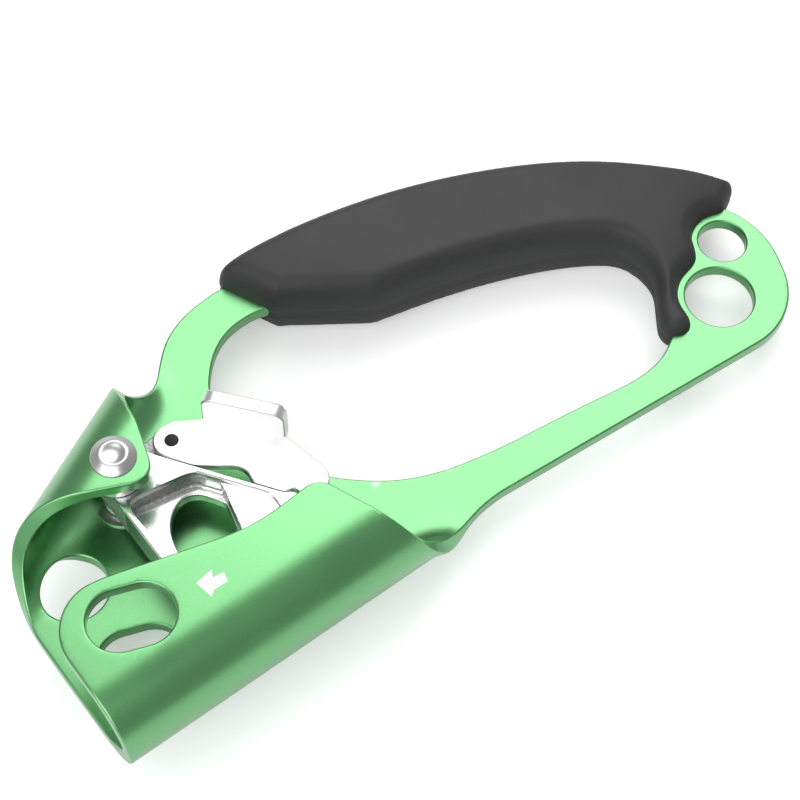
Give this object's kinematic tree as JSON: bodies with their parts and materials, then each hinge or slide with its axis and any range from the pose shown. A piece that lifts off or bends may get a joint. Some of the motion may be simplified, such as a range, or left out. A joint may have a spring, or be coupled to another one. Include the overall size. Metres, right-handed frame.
{
  "type": "hand ascender",
  "caption": "Hand ascender for rope climbing: bent plate frame with a rope channel, rubber hand grip, sprung toothed cam and a safety catch.",
  "frame": {"origin": "centre of the main attachment hole at the foot, on the plate's back face", "axes": "+Z out of the front face along the attachment hole, +Y up the rope towards the head, +X towards the hand grip"},
  "size_m": [0.094, 0.2061, 0.0364],
  "materials": {
    "green_aluminium": "satin anodised",
    "grip_rubber": "fine matte moulded rubber",
    "cast_steel": "as cast and bright plated",
    "rivet_steel": "turned, bright plated",
    "catch_steel": "satin plated",
    "black_steel": "black oxide",
    "spring_steel": "drawn wire"
  },
  "bodies": {
    "main": {"frame": "green_aluminium", "handle_grip": "grip_rubber", "cam_axle": "rivet_steel", "axle_rear_washer": "rivet_steel", "axle_bush": "rivet_steel", "cam_front_washer": "rivet_steel", "cam_rear_washer": "rivet_steel", "cam_spring": "spring_steel"},
    "cam_body": {"cam": "cast_steel", "catch_spring": "spring_steel"},
    "catch_body": {"safety_catch": "catch_steel", "catch_pin": "black_steel"}
  },
  "joints": [
    {"name": "cam_pivot", "type": "hinge", "parent": "main", "child": "cam_body", "pos_m": [0.0395, 0.1472, 0.01295], "axis": [0, 0, 1], "range_deg": [0, 38], "stiffness_Nm_per_rad": 0.1, "springref_deg": -28.65, "deforming": ["cam_spring"]},
    {"name": "catch_pivot", "type": "hinge", "parent": "cam_body", "child": "catch_body", "pos_m": [0.0393, 0.1328, 0.01295], "axis": [0, 0, 1], "range_deg": [0, 18], "stiffness_Nm_per_rad": 0.02, "springref_deg": -22.92, "deforming": ["catch_spring"]}
  ]
}
